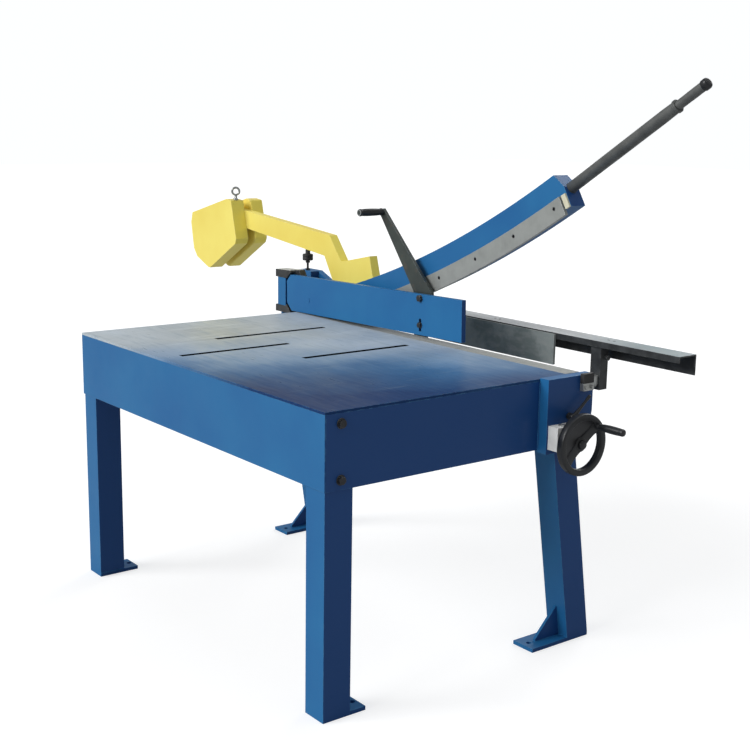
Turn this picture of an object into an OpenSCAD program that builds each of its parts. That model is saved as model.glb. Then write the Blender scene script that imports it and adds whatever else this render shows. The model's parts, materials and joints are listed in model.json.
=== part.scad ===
// Bench lever shear for sheet metal: a curved blade on a counterweighted beam
// swings down past a fixed lower blade. Origin: centre of the four floor
// anchor holes, on the floor. +X runs along the blade, +Y from the feed side
// to the back, +Z up. Millimetres.

/* [Table] */
// Length of the table along the blade
table_l = 1200; // [1180:1:1220]
// Height of the table's working surface above the floor
table_z = 715; // [712:1:720]
// Thickness of the table plate
plate_t = 6; // [4:1:8]
// Height of the sheet skirt with the table plate
apron_h = 178; // [170:1:180]
// Width of the three slots in the table plate
slot_w = 19; // [14:1:20]

/* [Stand] */
// Distance between the anchor holes along the blade
anchor_x = 1124; // [1120:1:1128]
// Distance between the anchor holes from front to back
anchor_y = 566; // [560:1:570]
// Radius of one anchor hole
anchor_r = 7; // [5:0.5:8]
// Width of a leg tube along the blade
leg_w = 70; // [60:1:70]
// Depth of a leg tube from front to back
leg_d = 75; // [70:1:75]

/* [Blades] */
// Radius of the curved cutting edge
edge_r = 3748; // [3740:1:3760]
// Width of the moving blade
blade_w = 50; // [45:1:55]
// Thickness of the moving blade
blade_t = 10; // [8:1:10]
// Depth of the beam that carries the moving blade
beam_h = 110; // [105:1:112]
// Thickness of that beam
beam_t = 50; // [45:1:50]

/* [Gauge] */
// Height of the back gauge's top flange
gauge_z = 745; // [743:1:750]
// Distance of the stop plate behind the shear plane
gauge_y = 235; // [200:1:240]

/* [Handwheel] */
// Outer diameter of the handwheel
wheel_d = 154; // [144:1:156]

/* [Hidden] */
$fn = 64;
sheet_t = 3;
gap = 0.3;
half_l = table_l / 2;
front_y = -anchor_y / 2 - 110;
shear_y = front_y + 785;
bed_y = shear_y - 50;
apron_bottom = table_z - apron_h;
leg_x = half_l - sheet_t;
foot_t = 10;

// Pivot of the blade beam, and the arcs of beam and blade about one centre
pivot = [-480, table_z + 60];
arc_c = pivot + [-935, 3536];
beam_y0 = shear_y + gap + blade_t;
beam_y1 = beam_y0 + beam_t;
shaft_r = 20;
hub_r = 40;
blade_a0 = 15.9;
blade_a1 = 31.05;
beam_a0 = 14.7;
beam_a1 = 31.35;
edge_proud = 13;

// Handle: starts at the beam's end and points up along the beam
handle_p = [507, 1167];
handle_a = 32.4;
handle_y = (beam_y0 + beam_y1) / 2;
handle_r = 15;

// Counterweight arm lies against the beam's back face
arm_t = 30;
arm_y1 = beam_y1 + arm_t;
slab_t = 50;

// Pivot plates stand in front of and behind the beam
plate_f0 = bed_y + 25;
plate_f1 = plate_f0 + 22;
plate_r0 = arm_y1 + 3.7;
plate_r1 = plate_r0 + 20;

// Hold-down bar, drawn closed and then swung up about its pin
hold_pin = [-534, table_z + 45];
hold_open = 1.2;
hold_x0 = -655;
hold_x1 = 196;
hold_y0 = bed_y + 5;
hold_t = 15;
hold_z0 = table_z + 2.5;
hold_z1 = hold_z0 + 116;
hold_y1 = hold_y0 + hold_t;
cam_p = [20, 822];
slot_z = 746;

// Gauge drive: handwheel shaft, cross shaft, and racks above its pinions
drive_y = shear_y - 84;
wheel_z = table_z - 155;
cross_z = wheel_z + 42;
rod_r = 10;
gear_m = 2;
gear_n = 21;
pinion_m = 2.5;
pinion_n = 16;
rack_z = cross_z + pinion_m * pinion_n / 2;
rack_top = rack_z + 27;
rack_w = 26;
rack_x = [417, -345];
carriage_y0 = shear_y + gauge_y + 15;
carriage_y1 = carriage_y0 + 30;
bed_z0 = table_z - 184;
blade_low_z = table_z - 60;
wheel_x = half_l + 88;
cheek_t = 30;
cheek_y0 = shear_y - 147;
box_x = half_l + cheek_t;
box_l = 32;
box_z1 = wheel_z + 43;
screw_at = [box_x + 16, drive_y - 28];
rim_w = 16;
grip_r = 63;
grip_a = 129.5;
grip_p = [drive_y + grip_r * sin(grip_a), wheel_z - grip_r * cos(grip_a)];
lock_p = [drive_y + 8, wheel_z + 60];
stop_x = -712;
stop_y = (beam_y1 + arm_y1) / 2;
lever_top = [-190, 1061];
lever_y0 = hold_y1 + 8;
lever_t = 10;
blade_angles = [for (i = [0 : 5]) 30.6 - i * 2.5];
arm_bolt_at = [[-366, 808], [-396, 780], [-432, 794]];
eye_x = -1100;
eye_z = 1071;

// The cam pivot's place when the hold-down is swung up
cam_off = cam_p - hold_pin;
lever_bore = hold_pin + [cos(hold_open) * cam_off[0] - sin(hold_open) * cam_off[1],
  sin(hold_open) * cam_off[0] + cos(hold_open) * cam_off[1]];

// Outline points of the blade beam at radius r and angle a from vertical
function arc_pt(r, a) = arc_c + r * [sin(a), -cos(a)];
function arc_run(r, a0, a1, n) = [for (i = [0 : n]) arc_pt(r, a0 + (a1 - a0) * i / n)];

// Trapezoid teeth: half width at tip and root in degrees, for a spur gear
function gear_pts(m, n) = let (
    r = m * n / 2,
    half = 90 / n * 0.84,
    tip = half - 0.36 * m * 0.9 / r * 57.3,
    root = half + 0.36 * m * 1.2 / r * 57.3
  ) [for (i = [0 : n - 1], p = [[-root, r - 1.2 * m], [-tip, r + 0.9 * m],
      [tip, r + 0.9 * m], [root, r - 1.2 * m]])
      p[1] * [cos(i * 360 / n + p[0]), sin(i * 360 / n + p[0])]];

// A plate in the XZ plane between y0 and y1, from an outline in x and z
module xz_plate(y0, y1) {
  translate([0, y1, 0]) rotate([90, 0, 0]) linear_extrude(y1 - y0) children();
}

// A plate in the YZ plane between x0 and x1, from an outline in y and z
module yz_plate(x0, x1) {
  translate([x0, 0, 0]) rotate([90, 0, 90]) linear_extrude(x1 - x0) children();
}

// A box from its lowest to its highest corner
module box(a, b) {
  translate(a) cube(b - a);
}

// Round bars along X and Y
module bar_x(r, x0, x1, y, z, n = 64) {
  translate([x0, y, z]) rotate([0, 90, 0]) cylinder(r = r, h = x1 - x0, $fn = n);
}

module bar_y(r, x, y0, y1, z, n = 64) {
  translate([x, y1, z]) rotate([90, 0, 0]) cylinder(r = r, h = y1 - y0, $fn = n);
}

// Swing a closed hold-down piece up to its open place
module hold_swing() {
  translate([hold_pin[0], 0, hold_pin[1]]) rotate([0, -hold_open, 0])
    translate([-hold_pin[0], 0, -hold_pin[1]]) children();
}

// Turn a piece drawn along +X at the origin into the handle's direction
module handle_place() {
  translate([handle_p[0], handle_y, handle_p[1]]) rotate([0, 90 - handle_a, 0]) children();
}

module table_top() {
  slots = [[-305, -125, 246], [-134, -331, 5], [65, -81, 266]];
  color("slategray") difference() {
    box([-half_l, front_y, table_z - plate_t], [half_l, bed_y - gap, table_z]);
    for (s = slots)
      box([s[0] - slot_w / 2, s[1], table_z - plate_t - 1],
        [s[0] + slot_w / 2, s[2], table_z + 1]);
  }
}

module apron_front() {
  flange_x = leg_x - leg_w - 2;
  color("steelblue") union() {
    box([-half_l, front_y, apron_bottom], [half_l, front_y + sheet_t, table_z - plate_t]);
    box([-flange_x, front_y, apron_bottom], [flange_x, front_y + 25, apron_bottom + sheet_t]);
  }
}

module apron_sides() {
  y1 = cheek_y0;
  color("steelblue") for (m = [0, 1]) mirror([m, 0, 0]) difference() {
    union() {
      box([leg_x, front_y + sheet_t, apron_bottom], [half_l, y1, table_z - plate_t]);
      box([leg_x - 22, front_y + leg_d + 8, apron_bottom], [half_l, y1, apron_bottom + sheet_t]);
    }
    for (z = [table_z - 29, apron_bottom + 23])
      bar_x(6.2, leg_x - 1, half_l + 1, front_y + 43, z);
  }
}

module bed_beam() {
  color("steelblue") difference() {
    box([-410, bed_y + 3, bed_z0], [leg_x, shear_y - 2, blade_low_z]);
    for (x = rack_x)
      box([x - rack_w / 2 - 0.5, bed_y, rack_z - 4], [x + rack_w / 2 + 0.5, shear_y, rack_top + 0.5]);
  }
}

module bed_bar() {
  color("lightgray") difference() {
    box([-half_l, bed_y, blade_low_z], [half_l - 10, plate_f0 - gap, table_z]);
    for (i = [0 : 5]) {
      bar_y(9, -330 + i * 165, bed_y - 1, bed_y + 11, table_z - 30);
      bar_y(6, -330 + i * 165, bed_y, plate_f0, table_z - 30);
    }
  }
}

module lower_blade() {
  color("silver") difference() {
    box([-410, plate_f0, blade_low_z], [half_l - 10, shear_y, table_z]);
    for (i = [0 : 5])
      bar_y(6, -330 + i * 165, plate_f0 - 1, plate_f0 + 18, table_z - 30);
  }
}

module lower_blade_screws() {
  color("dimgray") for (i = [0 : 5]) union() {
    bar_y(8.6, -330 + i * 165, bed_y + 1, bed_y + 11, table_z - 30);
    bar_y(5.9, -330 + i * 165, bed_y + 10, plate_f0 + 17, table_z - 30);
  }
}

module cheek_right() {
  color("steelblue") difference() {
    yz_plate(half_l, box_x) polygon([[cheek_y0, bed_z0], [shear_y - 6, bed_z0],
      [shear_y + 10, table_z - 92], [shear_y + 10, table_z + 2], [cheek_y0, table_z + 2]]);
    bar_x(rod_r + 0.05, half_l - 1, box_x + 1, drive_y, wheel_z);
    bar_x(rod_r + 0.05, half_l - 1, half_l + 20, drive_y, cross_z);
  }
}

module cheek_left() {
  color("steelblue") yz_plate(-half_l, -leg_x + 27) polygon([[cheek_y0, bed_z0],
    [plate_f0 - gap, bed_z0], [plate_f0 - gap, blade_low_z - gap], [bed_y - gap, blade_low_z - gap],
    [bed_y - gap, table_z - plate_t], [cheek_y0, table_z - plate_t]]);
}

module leg_front() {
  y1 = front_y + sheet_t + leg_d;
  color("steelblue") difference() {
    union() {
      box([leg_x - leg_w, front_y + sheet_t, foot_t - 1], [leg_x, y1, table_z - plate_t]);
      box([leg_x - leg_w, front_y + sheet_t, 0], [leg_x, -anchor_y / 2 + 12, foot_t]);
    }
    box([leg_x - leg_w + 4, front_y + sheet_t + 4, foot_t], [leg_x - 4, y1 - 4, table_z]);
    translate([anchor_x / 2, -anchor_y / 2, -1]) cylinder(r = anchor_r, h = foot_t + 2);
    for (z = [table_z - 29, apron_bottom + 23])
      bar_x(6.2, leg_x - 6, leg_x + 1, front_y + 43, z);
  }
}

module leg_front_right() {
  leg_front();
}

module leg_front_left() {
  mirror([1, 0, 0]) leg_front();
}

// Side view of a slanted leg tube, shrunk by the wall on both sides
module slant(wall, z0, z1) {
  lean = (388 - 307) / (bed_z0 - foot_t);
  y0 = 388 - lean * (z0 - foot_t);
  y1 = 388 - lean * (z1 - foot_t);
  polygon([[y0 + wall, z0], [y0 + leg_d - wall, z0], [y1 + leg_d - wall, z1], [y1 + wall, z1]]);
}

module leg_rear() {
  color("steelblue") difference() {
    union() {
      yz_plate(leg_x - leg_w, leg_x) slant(0, foot_t - 1, bed_z0 - gap);
      box([leg_x - leg_w, anchor_y / 2 - 21, 0], [leg_x, 388 + leg_d, foot_t]);
      yz_plate(anchor_x / 2 - 4, anchor_x / 2 + 4)
        polygon([[302, foot_t - 1], [396, foot_t - 1], [382, 92], [376, 92], [302, foot_t + 6]]);
    }
    yz_plate(leg_x - leg_w + 4, leg_x - 4) slant(4, foot_t, bed_z0);
    translate([anchor_x / 2, anchor_y / 2, -1]) cylinder(r = anchor_r, h = foot_t + 2);
  }
}

module leg_rear_right() {
  leg_rear();
}

module leg_rear_left() {
  mirror([1, 0, 0]) leg_rear();
}

module leg_bolts() {
  color("dimgray") for (m = [0, 1], z = [table_z - 29, apron_bottom + 23])
    mirror([m, 0, 0]) union() {
      bar_x(6, leg_x - 20, half_l + 3, front_y + 43, z);
      bar_x(12, half_l, half_l + 2, front_y + 43, z);
      bar_x(10, half_l + 2, half_l + 9, front_y + 43, z, 6);
      bar_x(10, leg_x - 14, leg_x - 4.2, front_y + 43, z, 6);
    }
}

module pivot_plate_front() {
  color("steelblue") difference() {
    xz_plate(plate_f0, plate_f1)
      polygon([[-720, bed_z0], [-411, bed_z0], [-411, 790], [-450, 826], [-720, 819]]);
    bar_y(shaft_r, pivot[0], plate_f0 - 1, plate_f1 + 1, pivot[1]);
    bar_y(8, hold_pin[0], plate_f0 - 1, plate_f1 + 1, hold_pin[1]);
  }
}

module pivot_plate_rear() {
  color("steelblue") difference() {
    union() {
      xz_plate(plate_r0, plate_r1)
        polygon([[-760, bed_z0], [-400, bed_z0], [-400, 770], [-440, 808],
          [-618, 805], [-682, 831], [-760, 831]]);
      box([-720, plate_f1, bed_z0], [-690, plate_r0, 690]);
      box([-720, plate_f1, bed_z0], [-411, plate_r0, bed_z0 + 30]);
    }
    bar_y(shaft_r, pivot[0], plate_r0 - 1, plate_r1 + 1, pivot[1]);
  }
}

module pivot_shaft() {
  color("silver") bar_y(shaft_r, pivot[0], plate_f0, plate_r1 + 24, pivot[1]);
}

module pivot_nut() {
  color("dimgray") difference() {
    bar_y(34, pivot[0], plate_r1, plate_r1 + 20, pivot[1], 6);
    bar_y(shaft_r, pivot[0], plate_r1 - 1, plate_r1 + 21, pivot[1]);
  }
}

module thrust_washer() {
  color("goldenrod") difference() {
    bar_y(40, pivot[0], plate_f1, beam_y0 - gap, pivot[1]);
    bar_y(shaft_r, pivot[0], plate_f1 - 1, beam_y0, pivot[1]);
  }
}

module stop_bracket() {
  color("steelblue") difference() {
    box([-755, beam_y1 + 2, 780], [-675, plate_r0, 831]);
    translate([stop_x, stop_y, 790]) cylinder(r = 4, h = 42);
  }
}

module stop_stud() {
  color("dimgray") translate([stop_x, stop_y, 0]) union() {
    translate([0, 0, 790]) cylinder(r = 4, h = 74);
    translate([0, 0, 831]) cylinder(r = 7.5, h = 6, $fn = 6);
  }
}

module stop_buffer() {
  color("black") translate([stop_x, stop_y, 0]) union() {
    translate([0, 0, 864]) cylinder(r = 17.5, h = 21);
    translate([0, 0, 884]) cylinder(r = 8, h = 17.2);
  }
}

module post_brackets() {
  color("black") union() {
    xz_plate(hold_y0 - 2, plate_f0)
      polygon([[-719, 818], [-655, 818], [-633, 839], [-637, 845], [-719, 842]]);
    xz_plate(plate_f0 - 1, plate_f1)
      polygon([[-719, 819.3], [-600, 822.4], [-615, 847], [-719, 842]]);
  }
  color("black") xz_plate(hold_y0 - 2, plate_f0)
    polygon([[-719, 705], [-627, 705], [-636, 712], [-657, 733], [-664, 727], [-719, 727]]);
}

module hold_down_post() {
  color("steelblue") box([-709, hold_y0, 727], [-664, plate_f0, 818]);
}

module hold_down_pin() {
  color("steelblue") union() {
    bar_y(7.95, hold_pin[0], hold_y0 - 1, plate_f1, hold_pin[1]);
    bar_y(13, hold_pin[0], hold_y1 + 0.3, plate_f0, hold_pin[1]);
  }
}

module guide_hangers() {
  color("steelblue") for (x = rack_x) difference() {
    box([x - 28, shear_y - 212, rack_z - 17], [x + 28, shear_y - 177, table_z - plate_t]);
    box([x - rack_w / 2 - 0.5, shear_y - 213, rack_z - 4],
      [x + rack_w / 2 + 0.5, shear_y - 176, rack_top + 0.5]);
  }
}

module shaft_bearings() {
  color("dimgray") for (x = [460, -400]) difference() {
    box([x, drive_y - 18, cross_z - 17], [x + 20, bed_y + 3, cross_z + 17]);
    bar_x(rod_r + 0.05, x - 1, x + 21, drive_y, cross_z);
  }
}

module wheel_bearing_box() {
  color("whitesmoke") difference() {
    box([box_x, drive_y - 58, wheel_z - 16], [box_x + box_l, drive_y + 22, box_z1]);
    bar_x(rod_r + 0.05, box_x - 1, box_x + box_l + 1, drive_y, wheel_z);
    translate([screw_at[0], screw_at[1], box_z1 - 7]) cylinder(r = 7, h = 8);
  }
}

module box_screw() {
  color("dimgray") translate([screw_at[0], screw_at[1], box_z1 - 7]) difference() {
    union() {
      cylinder(r = 6.9, h = 7.5);
      translate([0, 0, 7]) cylinder(r = 9, h = 3);
    }
    translate([0, 0, 6]) cylinder(r = 3.5, h = 5, $fn = 6);
  }
}

module side_stop_block() {
  color("gray") box([box_x, shear_y - 38, table_z - 37], [box_x + 13, shear_y - 2, table_z - 18]);
}

module side_stop_pad() {
  color("black") box([box_x, shear_y - 38, table_z - 18], [box_x + 13, shear_y - 2, table_z + 6]);
}

module side_stop_bolts() {
  color("silver") for (y = [shear_y - 31, shear_y - 10])
    bar_x(5, box_x + 13, box_x + 18, y, table_z - 28, 6);
}

module beam_outline() {
  r0 = edge_r - beam_h;
  r1 = edge_r - edge_proud;
  polygon(concat(arc_run(r0, beam_a0, beam_a1 - 0.3, 48),
    [arc_pt(r0 + 42, beam_a1)], arc_run(r1, beam_a1, beam_a0, 48)));
}

module blade_beam() {
  color("steelblue") difference() {
    union() {
      xz_plate(beam_y0, beam_y1) beam_outline();
      bar_y(hub_r, pivot[0], beam_y0, beam_y1, pivot[1]);
    }
    bar_y(26, pivot[0], beam_y0 - 1, beam_y1 + 1, pivot[1]);
    handle_place() translate([0, 0, -60]) cylinder(r = handle_r, h = 80);
    for (a = blade_angles) screw_hole(a, 5);
    for (p = arm_bolt_at) bar_y(8, p[0], beam_y1 - 30, beam_y1 + 1, p[1]);
  }
}

module screw_hole(a, r) {
  p = arc_pt(edge_r - 30, a);
  bar_y(r, p[0], beam_y0 - blade_t - 1, beam_y0 + 25, p[1]);
}

module pivot_bush() {
  color("goldenrod") difference() {
    bar_y(26, pivot[0], beam_y0, beam_y1, pivot[1]);
    bar_y(shaft_r + 0.05, pivot[0], beam_y0 - 1, beam_y1 + 1, pivot[1]);
  }
}

module upper_blade() {
  color("silver") difference() {
    xz_plate(beam_y0 - blade_t, beam_y0) polygon(concat(
      arc_run(edge_r - blade_w, blade_a0, blade_a1, 48),
      arc_run(edge_r, blade_a1, blade_a0, 48)));
    for (a = blade_angles) screw_hole(a, 5);
  }
}

module blade_screws() {
  color("dimgray") for (a = blade_angles) {
    p = arc_pt(edge_r - 30, a);
    bar_y(5, p[0], beam_y0 - blade_t + 1.5, beam_y0 + 25, p[1]);
  }
}

module blade_end_block() {
  r0 = edge_r - blade_w;
  r1 = edge_r - edge_proud;
  color("wheat") xz_plate(beam_y0 - 6, beam_y0) polygon([arc_pt(r0, blade_a1 + 0.05),
    arc_pt(r0, beam_a1 - 0.02), arc_pt(r1, beam_a1 - 0.02), arc_pt(r1, blade_a1 + 0.05)]);
}

module handle_tube() {
  color("dimgray") handle_place() difference() {
    translate([0, 0, -60]) cylinder(r = handle_r, h = 424);
    translate([0, 0, -61]) cylinder(r = 11.5, h = 426);
  }
}

module handle_collar() {
  color("dimgray") handle_place() translate([0, 0, 364]) difference() {
    cylinder(r = 16.5, h = 7);
    translate([0, 0, -1]) cylinder(r = 11.5, h = 9);
  }
}

module handle_rod() {
  color("dimgray") handle_place() translate([0, 0, 200]) cylinder(r = 11.5, h = 250);
}

module handle_cap() {
  color("black") handle_place() translate([0, 0, 450]) union() {
    cylinder(r = 13.5, h = 12);
    translate([0, 0, 12]) cylinder(r1 = 13.5, r2 = 9, h = 5);
  }
}

module counterweight_arm() {
  color("khaki") difference() {
    xz_plate(beam_y1, arm_y1) polygon([[-1180, 1013], [-569, 958], [-504, 880], [-357, 911],
      [-329, 815], [-430, 728], [-530, 728], [-538, 796], [-597, 890], [-1180, 955]]);
    bar_y(shaft_r + 2, pivot[0], beam_y1 - 1, arm_y1 + 1, pivot[1]);
    for (p = arm_bolt_at) bar_y(8, p[0], beam_y1 - 1, arm_y1 + 1, p[1]);
  }
}

module arm_bolts() {
  color("dimgray") for (p = arm_bolt_at) union() {
    bar_y(8, p[0], beam_y1 - 30, arm_y1 + 1, p[1]);
    bar_y(13, p[0], arm_y1, arm_y1 + 2.5, p[1], 6);
  }
}

module slab_outline() {
  polygon([[-1374, 945], [-1364, 981], [-1125, 1043], [-1092, 1039], [-1059, 908],
    [-1067, 890], [-1240, 790], [-1252, 790], [-1332, 822], [-1356, 851]]);
}

module counterweight_front() {
  color("khaki") difference() {
    xz_plate(beam_y1 - slab_t, beam_y1) slab_outline();
    translate([eye_x, beam_y1 - slab_t / 2, 1012]) cylinder(r = 4, h = 40);
  }
}

module counterweight_rear() {
  color("khaki") xz_plate(arm_y1, arm_y1 + slab_t) slab_outline();
}

module eye_bolt() {
  color("silver") translate([eye_x, beam_y1 - slab_t / 2, 0]) {
    translate([0, 0, 1014]) cylinder(r = 4, h = eye_z - 1028);
    translate([0, 0, 1041]) cylinder(r = 9, h = 5);
    translate([0, 0, eye_z]) rotate([90, 0, 60]) rotate_extrude() translate([12.5, 0]) circle(r = 4);
  }
}

module hold_down_bar() {
  color("steelblue") hold_swing() difference() {
    xz_plate(hold_y0, hold_y1) polygon([[hold_x0, hold_z0 + 25], [hold_x0, hold_z1 - 22],
      [hold_x0 + 22, hold_z1], [hold_x1, hold_z1], [hold_x1, hold_z0], [hold_x0 + 25, hold_z0]]);
    bar_y(8, hold_pin[0], hold_y0 - 1, hold_y1 + 1, hold_pin[1]);
    bar_y(6, cam_p[0], hold_y0 - 1, hold_y1 + 1, cam_p[1]);
    box([cam_p[0] - 5, hold_y0 - 1, slot_z - 18], [cam_p[0] + 5, hold_y1 + 1, slot_z + 18]);
  }
}

module depth_stop() {
  color("dimgray") hold_swing() difference() {
    box([cam_p[0] - 16, hold_y1, hold_z0 + 6], [cam_p[0] + 16, hold_y1 + 7, slot_z + 16]);
    bar_y(4.8, cam_p[0], hold_y1 - 1, hold_y1 + 8, slot_z);
  }
}

module hold_down_bolts() {
  color("dimgray") hold_swing() {
    union() {
      bar_y(5.95, cam_p[0], hold_y0 - 3, hold_y1 + 21, cam_p[1]);
      bar_y(10, cam_p[0], hold_y0 - 8, hold_y0, cam_p[1], 6);
      bar_y(9, cam_p[0], hold_y1 + 18.5, hold_y1 + 25, cam_p[1]);
    }
    union() {
      bar_y(4.8, cam_p[0], hold_y0 - 3, hold_y1 + 9, slot_z);
      bar_y(9, cam_p[0], hold_y0 - 2, hold_y0, slot_z);
      bar_y(8, cam_p[0], hold_y0 - 7, hold_y0 - 2, slot_z, 6);
      bar_y(8, cam_p[0], hold_y1 + 7, hold_y1 + 13, slot_z, 6);
    }
  }
}

module clamp_lever() {
  color("darkslategray") difference() {
    union() {
      xz_plate(lever_y0, lever_y0 + lever_t) polygon([[-204, 1057], [-188, 1071],
        [38, 850], [43, 815], [20, 798], [-14, 806], [-42, 848]]);
      bar_y(7, lever_top[0], lever_y0 - 86, lever_y0 + 1, lever_top[1]);
    }
    bar_y(6, lever_bore[0], lever_y0 - 1, lever_y0 + lever_t + 1, lever_bore[1]);
  }
}

module lever_grip() {
  color("black") difference() {
    bar_y(11, lever_top[0], lever_y0 - 84, lever_y0 - 2, lever_top[1]);
    bar_y(7.05, lever_top[0], lever_y0 - 85, lever_y0, lever_top[1]);
  }
}

module gauge_bar() {
  y0 = carriage_y0 - 7;
  color("black") difference() {
    yz_plate(-385, 705) polygon([[y0, gauge_z - 17], [y0, gauge_z], [y0 + 68, gauge_z],
      [y0 + 68, gauge_z - 55], [y0 + 64, gauge_z - 55], [y0 + 64, gauge_z - 4],
      [y0 + 4, gauge_z - 4], [y0 + 4, gauge_z - 17]]);
    for (x = [rack_x[0], -34, rack_x[1]], dx = [16, 36])
      translate([x + dx, y0 + 38, gauge_z - 5]) cylinder(r = 4, h = 6);
  }
}

module stop_plate() {
  y0 = shear_y + gauge_y;
  color("dimgray") box([-380, y0, blade_low_z], [272, y0 + 8, gauge_z - 3]);
}

module carriages() {
  color("black") for (x = rack_x) union() {
    difference() {
      box([x - 18, carriage_y0, rack_z - 13], [x + 18, carriage_y1, gauge_z - 4]);
      box([x - rack_w / 2, carriage_y0 - 1, rack_z - 4], [x + rack_w / 2, carriage_y1 + 1, rack_top]);
    }
    bar_x(7, x + 17, x + 26, carriage_y0 + 23, gauge_z - 48);
  }
}

// Rack bar in side view: teeth on the underside, a gap above each pinion
module rack_outline() {
  y0 = shear_y - 452;
  pitch = PI * pinion_m;
  k0 = ceil((y0 + 6 - drive_y) / pitch);
  k1 = floor((carriage_y0 - 4 - drive_y) / pitch) - 1;
  teeth = [for (k = [k0 : k1], p = [[-2.75, 1.2], [-0.85, -0.9], [0.85, -0.9], [2.75, 1.2]])
    [drive_y + (k + 0.5) * pitch + p[0], rack_z + p[1] * pinion_m]];
  polygon(concat([[y0, rack_top], [y0, rack_z + 1.2 * pinion_m]], teeth,
    [[carriage_y1, rack_z + 1.2 * pinion_m], [carriage_y1, rack_top]]));
}

module rack_bars() {
  color("silver") for (x = rack_x) yz_plate(x - rack_w / 2, x + rack_w / 2) rack_outline();
}

// A spur gear on an X shaft, its first tooth turned to the angle given
module gear(m, n, x0, x1, z, turn) {
  translate([x0, drive_y, z]) rotate([90, 0, 90]) rotate([0, 0, turn])
    linear_extrude(x1 - x0) polygon(gear_pts(m, n));
}

// Chamfered section of the handwheel's rim, from its inner to its outer radius
module rim_section(r0, r1, x0, x1, c) {
  polygon([[r0, x0 + c], [r0 + c, x0], [r1 - c, x0], [r1, x0 + c],
    [r1, x1 - c], [r1 - c, x1], [r0 + c, x1], [r0, x1 - c]]);
}

module handwheel() {
  rim_r = wheel_d / 2;
  color("black") translate([wheel_x, drive_y, wheel_z]) rotate([0, 90, 0]) difference() {
    union() {
      rotate_extrude() rim_section(rim_r - rim_w, rim_r, -11, 9, 4);
      translate([0, 0, -14]) cylinder(r = 19, h = 20);
      rotate([0, 0, grip_a]) translate([-rim_r + 8, -15, -4]) cube([2 * rim_r - 16, 30, 8]);
      rotate([0, 0, grip_a]) translate([0, 0, -4]) intersection() {
        cylinder(r = rim_r - 8, h = 7);
        translate([-rim_r, 0, -1]) cube([2 * rim_r, rim_r, 9]);
      }
      rotate([0, 0, grip_a]) translate([grip_r, 0, -3]) cylinder(r = 5, h = 84);
    }
    translate([0, 0, -15]) cylinder(r = rod_r, h = 22);
  }
}

module wheel_shaft() {
  color("silver") union() {
    bar_x(rod_r, half_l - 44, wheel_x + 6, drive_y, wheel_z);
    gear(gear_m, gear_n, half_l - 40, half_l - 26, wheel_z, 90);
  }
}

module wheel_grip() {
  color("black") difference() {
    bar_x(10, wheel_x + 12, wheel_x + 88, grip_p[0], grip_p[1]);
    bar_x(5.05, wheel_x + 11, wheel_x + 82, grip_p[0], grip_p[1]);
  }
}

module cross_shaft() {
  color("silver") union() {
    bar_x(rod_r, -405, half_l + 18, drive_y, cross_z);
    gear(gear_m, gear_n, half_l - 40, half_l - 26, cross_z, -90 + 180 / gear_n);
    for (x = rack_x) gear(pinion_m, pinion_n, x - 10, x + 10, cross_z, 90);
  }
}

module lock_lever() {
  color("black") union() {
    bar_x(9, box_x + 2, box_x + 26, lock_p[0], lock_p[1]);
    bar_x(5, box_x + gap, box_x + 3, lock_p[0], lock_p[1]);
    translate([box_x + 18.5, lock_p[0], lock_p[1]]) rotate([-50, 0, 0]) {
      cylinder(r1 = 5.5, r2 = 3.5, h = 62);
      translate([0, 0, 60]) cylinder(r = 4.5, h = 14);
    }
  }
}

table_top();
apron_front();
apron_sides();
bed_beam();
bed_bar();
lower_blade();
lower_blade_screws();
cheek_right();
cheek_left();
leg_front_left();
leg_front_right();
leg_rear_left();
leg_rear_right();
leg_bolts();
pivot_plate_front();
pivot_plate_rear();
pivot_shaft();
pivot_nut();
thrust_washer();
stop_bracket();
stop_stud();
stop_buffer();
post_brackets();
hold_down_post();
hold_down_pin();
guide_hangers();
shaft_bearings();
wheel_bearing_box();
box_screw();
side_stop_block();
side_stop_pad();
side_stop_bolts();
blade_beam();
pivot_bush();
upper_blade();
blade_screws();
blade_end_block();
handle_tube();
handle_collar();
handle_rod();
handle_cap();
counterweight_arm();
arm_bolts();
counterweight_front();
counterweight_rear();
eye_bolt();
hold_down_bar();
depth_stop();
hold_down_bolts();
clamp_lever();
lever_grip();
gauge_bar();
stop_plate();
carriages();
rack_bars();
handwheel();
wheel_shaft();
wheel_grip();
cross_shaft();
lock_lever();
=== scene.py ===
import json
import math
import bmesh
import bpy
from mathutils import Matrix, Vector


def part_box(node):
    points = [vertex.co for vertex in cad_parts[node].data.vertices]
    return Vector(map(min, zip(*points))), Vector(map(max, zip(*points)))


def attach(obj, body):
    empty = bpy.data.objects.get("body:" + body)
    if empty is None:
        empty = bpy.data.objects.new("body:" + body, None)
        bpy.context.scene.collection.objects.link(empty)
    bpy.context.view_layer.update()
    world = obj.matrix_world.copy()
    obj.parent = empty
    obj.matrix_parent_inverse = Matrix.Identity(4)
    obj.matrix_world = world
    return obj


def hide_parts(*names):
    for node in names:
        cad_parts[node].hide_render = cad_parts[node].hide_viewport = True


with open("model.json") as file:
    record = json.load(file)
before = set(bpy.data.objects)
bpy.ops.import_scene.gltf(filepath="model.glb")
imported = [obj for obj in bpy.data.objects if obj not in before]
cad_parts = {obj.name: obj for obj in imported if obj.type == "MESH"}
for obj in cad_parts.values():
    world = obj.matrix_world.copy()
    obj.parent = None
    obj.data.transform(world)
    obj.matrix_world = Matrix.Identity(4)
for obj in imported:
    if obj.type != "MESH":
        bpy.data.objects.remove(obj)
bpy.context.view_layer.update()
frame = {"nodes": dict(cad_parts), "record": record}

MM = 0.001
X, Y, Z = Vector((1, 0, 0)), Vector((0, 1, 0)), Vector((0, 0, 1))

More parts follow.
